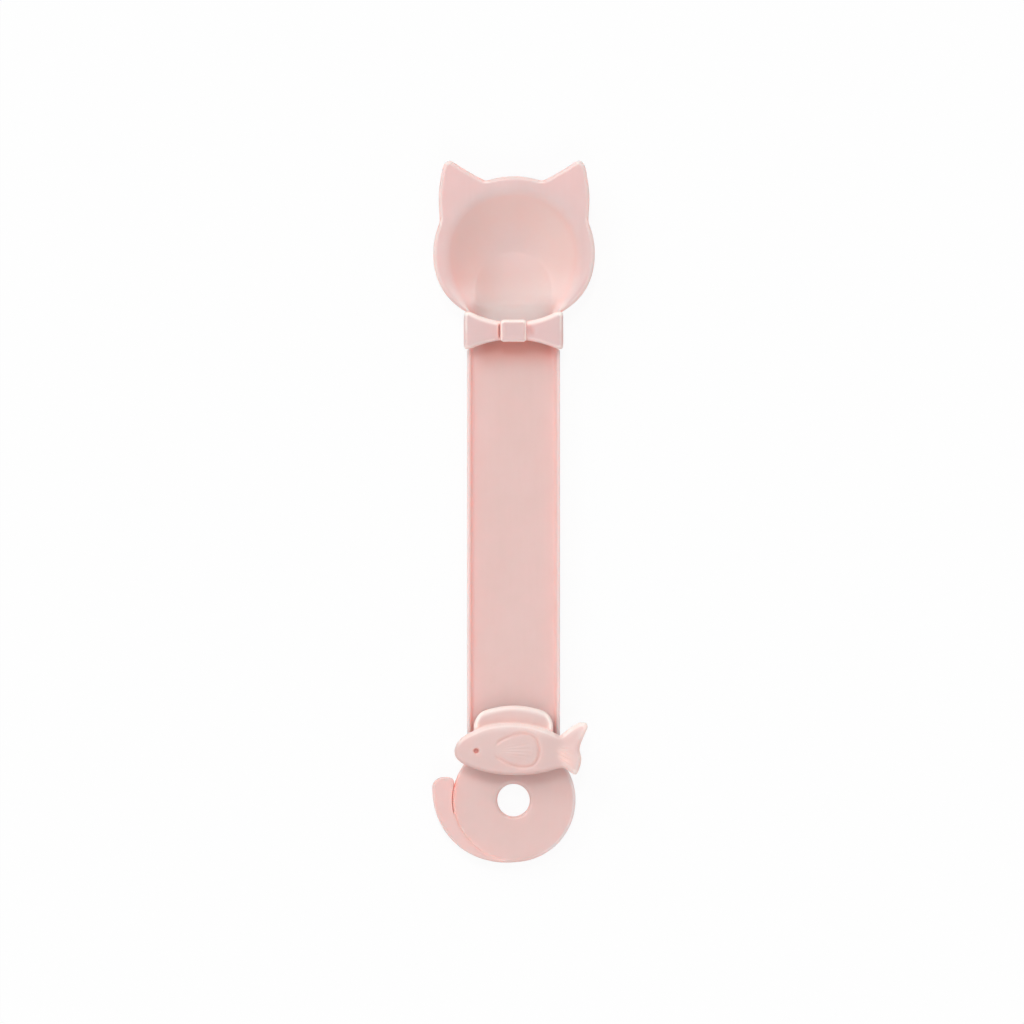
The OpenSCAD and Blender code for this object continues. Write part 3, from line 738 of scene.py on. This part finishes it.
def plate_shape(x, y, z):
    """Distance to the back plate, with a hole for each leg's plug."""
    v = y - FISH_Y
    ax = np.abs(x)
    wide = both(ax - LEG_OUT, np.abs(v) - LEG_HALF, 0.6)
    tall = both(ax - PLATE_HALF, np.abs(v - PLATE_V) - PLATE_REACH, 1.0)
    flat = either(wide, tall, 0.5)
    flat = np.maximum(flat, DISC_CLEAR_R - np.hypot(x, y - HOLE_Y))
    hole = np.maximum(np.abs(ax - PLUG_X) - PLUG_HALF - PRESS, np.abs(v) - PLUG_HALF_H - PRESS)
    return raised(np.maximum(flat, -hole), z, PLATE_LOW, PLATE_HIGH, 0.2, 0.35)


def plate_painted_light(tone, x, y, z):
    """Only a little painted highlight on its edges, which sit in the shade."""
    return 0.2 * tone


back_plate = mould("pusher_back_plate", plate_shape, spaced((-15.13, 0.25), (15.1, 1)),
                   spaced((-69.03, 0.25), (-57.5, 1)), spaced((0.13, 0.2), (2.3, 1)),
                   plate_painted_light)

# %% [markdown]
# ## One pink plastic
# The spoon is moulded in polypropylene, coloured right through. The mould was spark-eroded
# to a fine even texture, which gives the eye a satin face with no clear reflection, and
# highlights only on the edges, which a painted highlight makes paler still. The plastic lets a
# little light in, so shadows in its corners turn warm, and a painted shade deepens them. Its
# colour drifts very slightly over some millimetres where the melt flowed. Each piece has its
# own few colours: a base set a little apart for how light falls on it, the cloud that it drifts
# to, an edge colour for the painted highlight and a shade colour for the painted shade in its
# corners.

# %% Colours and one helper for nodes
def paint(code):
    """An sRGB hex colour as the linear colour that Blender works in."""
    parts = [int(code[i:i + 2], 16) / 255 for i in (1, 3, 5)]
    linear = [p / 12.92 if p <= 0.04045 else ((p + 0.055) / 1.055) ** 2.4 for p in parts]
    return (*linear, 1.0)


def add(tree, kind, inputs=None, **settings):
    """Add one node with its settings. Each input takes a value, a socket's link, or a
    node, which then gives its first output."""
    made = tree.nodes.new(kind)
    for name, value in settings.items():
        setattr(made, name, value)
    for name, value in (inputs or {}).items():
        if isinstance(value, bpy.types.Node):
            value = value.outputs[0]
        if isinstance(value, bpy.types.NodeSocket):
            tree.links.new(value, made.inputs[name])
        else:
            made.inputs[name].default_value = value
    return made


def bare_finish(name):
    """A new material with no nodes yet."""
    finish = bpy.data.materials.new(name)
    finish.use_nodes = True
    finish.node_tree.nodes.clear()
    return finish


print("middle grey is", round(paint("#808080")[0], 3), "in linear light")

# %% Satin moulded polypropylene
DRIFT = 9  # mm over which the melt's colour drifts
FLOW_W, FLOW_L = 1.1, 14  # mm, width and length of the flow lines along the part
GRAIN = 0.4  # mm, drawn coarse: the eroded grain is 0.05 mm and wouldn't show
SINK = 7  # mm over which walls sink a little as they cool
SCATTER = 4.5  # mm that light travels inside the plastic
POLYPROPYLENE_IOR = 1.49


def satin_polypropylene(name, base, cloud, edge, shade, pale, painted_light_by_height=(), red=1.0,
                        matt=(0.30, 0.44)):
    """The finish of one moulding, with a painted highlight on its edges and a painted shade in its
    corners.
    """
    finish = bare_finish(name)
    tree = finish.node_tree
    place = add(tree, "ShaderNodeTexCoord").outputs["Object"]
    # the attribute read here holds each point's painted highlight and painted shade
    turn = add(tree, "ShaderNodeAttribute", attribute_name="bend").outputs["Fac"]
    drift = add(tree, "ShaderNodeTexNoise",
                {"Vector": place, "Scale": 1 / (DRIFT * MM), "Detail": 3.0, "Roughness": 0.55})
    across = 1 / (FLOW_W * MM)
    along = add(tree, "ShaderNodeMapping",
                {"Vector": place, "Scale": (across, 1 / (FLOW_L * MM), across)})
    flow = add(tree, "ShaderNodeTexNoise", {"Vector": along, "Scale": 1.0, "Detail": 2.0})
    tone = add(tree, "ShaderNodeMath", {0: flow, 1: 0.35, 2: drift}, operation="MULTIPLY_ADD")
    spread = add(tree, "ShaderNodeMapRange", {"Value": tone, "From Min": 0.4, "From Max": 0.95})
    tints = [(spread, cloud)]
    # painted shade makes the bowl's wall warmer than its rim, and painted light makes its floor
    # cooler again
    height = add(tree, "ShaderNodeSeparateXYZ", {0: place}).outputs["Z"]
    for high, low, colour in painted_light_by_height:
        depth = add(tree, "ShaderNodeMapRange",
                    {"Value": height, "From Min": high * MM, "From Max": low * MM})
        tints.append((depth, colour))
    # a painted highlight makes the edges paler
    rim = add(tree, "ShaderNodeMapRange", {"Value": turn, "To Max": pale})
    # a painted shade makes corners and grooves deeper in colour
    painted_corner_shade = add(tree, "ShaderNodeMapRange", {"Value": turn, "From Max": -1.0})
    tints += [(rim, edge), (painted_corner_shade, shade)]
    skin_colour = paint(base)
    for share, colour in tints:
        mix = add(tree, "ShaderNodeMix", {"Factor": share, 6: skin_colour, 7: paint(colour)},
                  data_type="RGBA")
        skin_colour = mix.outputs[2]
    grain = add(tree, "ShaderNodeTexNoise",
                {"Vector": place, "Scale": 1 / (GRAIN * MM), "Detail": 3.0, "Roughness": 0.6})
    sink = add(tree, "ShaderNodeTexNoise", {"Vector": place, "Scale": 1 / (SINK * MM), "Detail": 1.0})
    fine = add(tree, "ShaderNodeBump", {"Height": grain, "Strength": 0.5, "Distance": 0.02 * MM})
    wavy = add(tree, "ShaderNodeBump",
               {"Height": sink, "Strength": 0.3, "Distance": 0.12 * MM, "Normal": fine})
    satin = add(tree, "ShaderNodeMapRange", {"Value": grain, "To Min": matt[0], "To Max": matt[1]})
    surface = add(tree, "ShaderNodeBsdfPrincipled",
                  {"Base Color": skin_colour, "Roughness": satin, "IOR": POLYPROPYLENE_IOR,
                   "Normal": wavy, "Subsurface Weight": 1.0,
                   "Subsurface Radius": (red, 0.25, 0.18),
                   "Subsurface Scale": SCATTER * MM}, subsurface_method="BURLEY")
    add(tree, "ShaderNodeOutputMaterial", {"Surface": surface})
    return finish


# each piece's base is set a little apart for how light falls on it; edge is its painted highlight
# colour and shade its painted shade colour
head_pink = satin_polypropylene(
    "satin_pink_polypropylene_head", base="#dcbfbb", cloud="#dfc4c1", edge="#efe3df",
    # these heights tint the bowl's wall with painted shade and its floor with painted light
    shade="#c98d84", pale=0.8, painted_light_by_height=((7.55, 6.85, "#e4bbb4"), (4.2, 2.0, "#dec0bc")))
handle_pink = satin_polypropylene(
    "satin_pink_polypropylene_handle", base="#dfbdb7", cloud="#e2c1bc", edge="#ebdddd",
    shade="#e0968a", pale=0.85)
slider_pink = satin_polypropylene(
    "satin_pink_polypropylene_slider", base="#ddbeb9", cloud="#e0c2bd", edge="#f8ede7",
    shade="#b5716a", pale=0.9, red=0.8)
bow_pink = satin_polypropylene(
    "satin_pink_polypropylene_bow", base="#dabdba", cloud="#ddc1bf", edge="#f9eee8",
    shade="#70403c", pale=0.95, red=0.8)
pin_pink = satin_polypropylene(
    "ground_pin_mark_polypropylene", base="#dfafa8", cloud="#e1b3ad", edge="#efdad4",
    shade="#c98d84", pale=0.4, red=0.1, matt=(0.2, 0.26))
print("finishes:", [m.name for m in bpy.data.materials if "polypropylene" in m.name])

# %% [markdown]
# ## Rays and ridges that follow a surface
# The side fin carries fine rays, and the tail's root short ridges. Each is a low soft ridge
# on a curved face, and all of them point away from one place. A Geometry Nodes tree does it
# with a rule: it measures each point's angle round that place, and a cosine of the angle
# lifts the face into as many ridges as are asked for, between two places along the fish.

# %% Opening, ending and running a tree
def open_tree(name, asked):
    """A new Geometry Nodes tree that asks for these inputs, each with its kind."""
    tree = bpy.data.node_groups.new(name, "GeometryNodeTree")
    for title, kind in asked.items():
        tree.interface.new_socket(title, in_out="INPUT", socket_type="NodeSocket" + kind)
    tree.interface.new_socket("Geometry", in_out="OUTPUT", socket_type="NodeSocketGeometry")
    return tree, add(tree, "NodeGroupInput").outputs


def end_tree(tree, shape, material):
    """Turn copies into real points, give the shape its material and hand it over."""
    whole = add(tree, "GeometryNodeRealizeInstances", {"Geometry": shape})
    coloured = add(tree, "GeometryNodeSetMaterial", {"Geometry": whole, "Material": material})
    add(tree, "NodeGroupOutput", {"Geometry": coloured})
    return tree


def grow(piece, tree, values):
    """Run a tree on a piece with these inputs and keep the result as its plain mesh."""
    modifier = piece.modifiers.new("grow", "NODES")
    modifier.node_group = tree
    for asked in tree.interface.items_tree:
        if asked.name in values:
            modifier[asked.identifier] = values[asked.name]
    bpy.context.view_layer.update()
    ready = piece.evaluated_get(bpy.context.evaluated_depsgraph_get())
    mesh = bpy.data.meshes.new_from_object(ready)
    piece.modifiers.remove(modifier)
    piece.data = mesh
    print(f"{piece.name}: {tree.name}, {len(mesh.vertices)} points")


# %% The sums behind the ridges
# each step names its result, and a word stands for an input or an earlier result
RIDGE_STEPS = (
    ("turn", "ARCTAN2", "y", "x"),
    ("angle", "SUBTRACT", "turn", "Aim"),
    ("share", "DIVIDE", "angle", "Fan"),
    ("gaps", "SUBTRACT", "Count", 1.0),
    ("half", "MULTIPLY", "gaps", 0.5),
    ("cycle", "MULTIPLY_ADD", "share", "half", "half"),
    ("phase", "MULTIPLY", "cycle", 2 * math.pi),
    ("cosine", "COSINE", "phase"),
    ("wave", "MULTIPLY_ADD", "cosine", 0.5, 0.5),
    # the ridges get lower to the sides, and past the last one the face stays as it is
    ("beyond", "DIVIDE", 0.5, "half"),
    ("edge", "ADD", 1.0, "beyond"),
    ("side", "DIVIDE", "share", "edge"),
    ("off", "ABSOLUTE", "side"),
    ("aside", "POWER", "off", 2.0),
    ("left", "SUBTRACT", 1.0, "aside"),
    ("within", "MAXIMUM", "left", 0.0),
    ("upper", "GREATER_THAN", "facing", 0.6),
    ("From end", "ADD", "From", "Fade"),
    ("To end", "SUBTRACT", "To", "Fade"))
print("the sums take", len(RIDGE_STEPS), "steps")

# %% A tree that raises a fan of ridges
def ridge_tree():
    """A tree that lifts the upper face into ridges that point away from an origin."""
    asked = {"Geometry": "Geometry", "Count": "Int", "Origin": "Vector"}
    asked.update(dict.fromkeys(("Aim", "Fan", "From", "To", "Fade", "Rise"), "Float"))
    tree, put = open_tree("fan_of_ridges", {**asked, "Material": "Material"})
    place = add(tree, "GeometryNodeInputPosition")
    away = add(tree, "ShaderNodeVectorMath", {0: place, 1: put["Origin"]}, operation="SUBTRACT")
    part = add(tree, "ShaderNodeSeparateXYZ", {0: away}).outputs
    normal = add(tree, "GeometryNodeInputNormal")
    known = {name: put[name] for name in asked}
    known["x"], known["y"] = part["X"], part["Y"]
    known["facing"] = add(tree, "ShaderNodeSeparateXYZ", {0: normal}).outputs["Z"]
    for result, operation, *values in RIDGE_STEPS:
        inputs = dict(enumerate(known.get(value, value) for value in values))
        known[result] = add(tree, "ShaderNodeMath", inputs, operation=operation)
    # the ridges rise and die away between two places along the fish
    along = add(tree, "ShaderNodeSeparateXYZ", {0: place}).outputs["X"]
    for end in ("From", "To"):
        known[end] = add(tree, "ShaderNodeMapRange",
                         {"Value": along, "From Min": known[end],
                          "From Max": known[end + " end"]}, interpolation_type="SMOOTHSTEP")
    lift = known["wave"]
    for factor in ("From", "To", "within", "upper", "Rise"):
        lift = add(tree, "ShaderNodeMath", {0: lift, 1: known[factor]}, operation="MULTIPLY")
    offset = add(tree, "ShaderNodeCombineXYZ", {"Z": lift})
    lifted = add(tree, "GeometryNodeSetPosition", {"Geometry": put["Geometry"], "Offset": offset})
    return end_tree(tree, lifted, put["Material"])


ridges = ridge_tree()
print(ridges.name, "has", len(ridges.nodes), "nodes")

# %% Fin rays and tail ridges
grow(fish_slider, ridges, {
    "Count": 5, "Aim": 0.0, "Fan": math.radians(12), "From": -4.6 * MM, "To": 5.6 * MM,
    "Fade": 2.0 * MM, "Rise": 0.085 * MM, "Origin": (-7.5 * MM, (FISH_Y - 0.6) * MM, 0),
    "Material": slider_pink})
grow(fish_slider, ridges, {
    "Count": 6, "Aim": math.radians(-22), "Fan": math.radians(22), "From": 11.8 * MM,
    "To": 17.0 * MM, "Fade": 2.6 * MM, "Rise": 0.42 * MM,
    "Origin": (8.1 * MM, (FISH_Y + 0.4) * MM, 0), "Material": slider_pink})

# %% [markdown]
# ## Marks on the back
# Pins push a long thin moulding out of its mould, and each leaves a faint round pad, flatter
# and shinier than the skin round it because the pin's end is ground. They stand in a row
# along the handle's back, so a tree sets a thin disc on each of a row of points.

# %% A tree that sets pads in a row
def pad_tree():
    """A tree that sets a thin disc on each of a row of points."""
    tree, put = open_tree("row_of_pads", {
        "Count": "Int", "Radius": "Float", "Height": "Float", "First": "Vector",
        "Step": "Vector", "Material": "Material"})
    row = add(tree, "GeometryNodeMeshLine",
              {"Count": put["Count"], "Start Location": put["First"], "Offset": put["Step"]},
              mode="OFFSET")
    pad = add(tree, "GeometryNodeMeshCylinder",
              {"Vertices": 40, "Radius": put["Radius"], "Depth": put["Height"]})
    pads = add(tree, "GeometryNodeInstanceOnPoints", {"Points": row, "Instance": pad})
    return end_tree(tree, pads, put["Material"])


PAD_R, PAD_T, PAD_GAP, FIRST_PAD_Y = 1.5, 0.12, 16.5, -48
pin_pads = set_down("pin_pads", bpy.data.meshes.new("pin_pads"))
grow(pin_pads, pad_tree(), {
    "Count": 6, "Radius": PAD_R * MM, "Height": PAD_T * MM,
    "First": (0, FIRST_PAD_Y * MM, (BACK - 0.03) * MM), "Step": (0, PAD_GAP * MM, 0),
    "Material": pin_pink})

# %% [markdown]
# ## Putting the pieces on their bodies
# The head, bow and handle are one rigid spoon, and the fish and its back plate slide. Each
# piece takes the place of the plain solid that it was made from. The pads have no solid of
# their own. The fish and the pads got their finish from their trees.

# %% Ride, replace and finish
for piece, body, solid, finish in (
        (spoon_head, "spoon", "spoon_head", head_pink),
        (handle, "spoon", "handle", handle_pink),
        (bow_tie, "spoon", "bow_tie", bow_pink),
        (pin_pads, "spoon", None, None),
        (fish_slider, "slider", "fish_slider", None),
        (back_plate, "slider", "slider_back_plate", slider_pink)):
    if finish:
        piece.data.materials.append(finish)
    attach(piece, body)
    if solid:
        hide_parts(solid)
    print(piece.name, "rides", body, "in", [m.name for m in piece.data.materials if m])

# %% [markdown]
# ## Camera
# The view is from straight above, with the ears at the top, through a camera without
# perspective. A picture of 1024 pixels is 284.4 mm wide.

# %% Camera from above
PIXELS, PIXEL = 1024, 0.27778  # pixels across, and one's width in mm
VIEW_X, VIEW_Y, VIEW_HIGH = -0.417, -0.139, 600  # the camera's place in mm
camera_data = bpy.data.cameras.new("camera")
camera_data.type = "ORTHO"
camera_data.ortho_scale = PIXELS * PIXEL * MM
camera = set_down("camera", camera_data)
camera.location = (VIEW_X * MM, VIEW_Y * MM, VIEW_HIGH * MM)
scene.camera = camera
print("the camera sees", round(PIXELS * PIXEL, 1), "mm across")

# %% [markdown]
# ## Floor and light
# The floor is white to the eye and pale to the light, and keeps a faint shadow. An even
# white sky gives more than half of the light. Three broad lamps give the rest: a high one
# beyond the ears for the edges, a low one from the upper left for the slopes, and a soft one
# from below the disc that fills the shadows. Sun lamps light the head and the disc equally,
# and their angle sets how soft the shadows are.

# %% Floor
FLOOR_HALF, FLOOR_DROP = 3.0, 0.05  # half its size in metres, and its drop in mm
FLOOR_GLOW = 0.92  # how much of it the eye sees as plain white


def seen_directly(tree):
    """1 for rays that reach the eye straight, mirrored or through glass, 0 for others."""
    path = add(tree, "ShaderNodeLightPath").outputs
    seen = path["Is Camera Ray"]
    for kind in ("Is Glossy Ray", "Is Transmission Ray"):
        seen = add(tree, "ShaderNodeMath", {0: seen, 1: path[kind]}, operation="MAXIMUM")
    return seen


def floor_finish():
    """White paper, lit evenly enough to look white, with a faint shadow left on it."""
    finish = bare_finish("studio_floor")
    tree = finish.node_tree
    pale = add(tree, "ShaderNodeBsdfDiffuse", {"Color": (0.9, 0.9, 0.9, 1)})
    white = add(tree, "ShaderNodeEmission", {"Color": (1, 1, 1, 1), "Strength": 1.0})
    seen = seen_directly(tree)
    share = add(tree, "ShaderNodeMath", {0: seen, 1: FLOOR_GLOW}, operation="MULTIPLY")
    mixed = add(tree, "ShaderNodeMixShader", {0: share, 1: pale, 2: white})
    add(tree, "ShaderNodeOutputMaterial", {"Surface": mixed})
    return finish


floor_mesh = bpy.data.meshes.new("floor")
corners = [(-1, -1), (1, -1), (1, 1), (-1, 1)]
floor_mesh.from_pydata([(x * FLOOR_HALF, y * FLOOR_HALF, 0) for x, y in corners], [],
                       [(0, 1, 2, 3)])
floor_mesh.materials.append(floor_finish())
floor = set_down("floor", floor_mesh)
floor.location.z = -FLOOR_DROP * MM
print("the floor is", 2 * FLOOR_HALF, "m wide")

# %% Lights and world
def soft_sun(name, compass, height, share, softness):
    """A lamp from this compass angle and height that gives a flat face this share of light."""
    lamp = bpy.data.lights.new(name, "SUN")
    lamp.angle = math.radians(softness)
    lamp.energy = math.pi * share / math.sin(math.radians(height))
    thing = set_down(name, lamp)
    thing.rotation_euler = (math.radians(90 - height), 0, math.radians(180 + compass))
    thing.location = (0, 0, 0.5)
    print(f"{name}: {lamp.energy:.2f} W/m2, {softness} degrees wide")


soft_sun("high_lamp", compass=8, height=60, share=0.19, softness=14)
soft_sun("low_lamp", compass=45, height=28, share=0.14, softness=30)
soft_sun("near_lamp", compass=185, height=40, share=0.11, softness=40)
SKY_LIGHT, SKY_SEEN = 0.56, 1.0  # the sky's strength as light, and to the eye
world = bpy.data.worlds.new("studio")
scene.world = world
world.use_nodes = True
sky_tree = world.node_tree
sky_tree.nodes.clear()
level = add(sky_tree, "ShaderNodeMapRange",
            {"Value": seen_directly(sky_tree), "To Min": SKY_LIGHT, "To Max": SKY_SEEN})
sky = add(sky_tree, "ShaderNodeBackground", {"Color": (1, 1, 1, 1), "Strength": level})
add(sky_tree, "ShaderNodeOutputWorld", {"Surface": sky})
scene.view_settings.view_transform = "Standard"
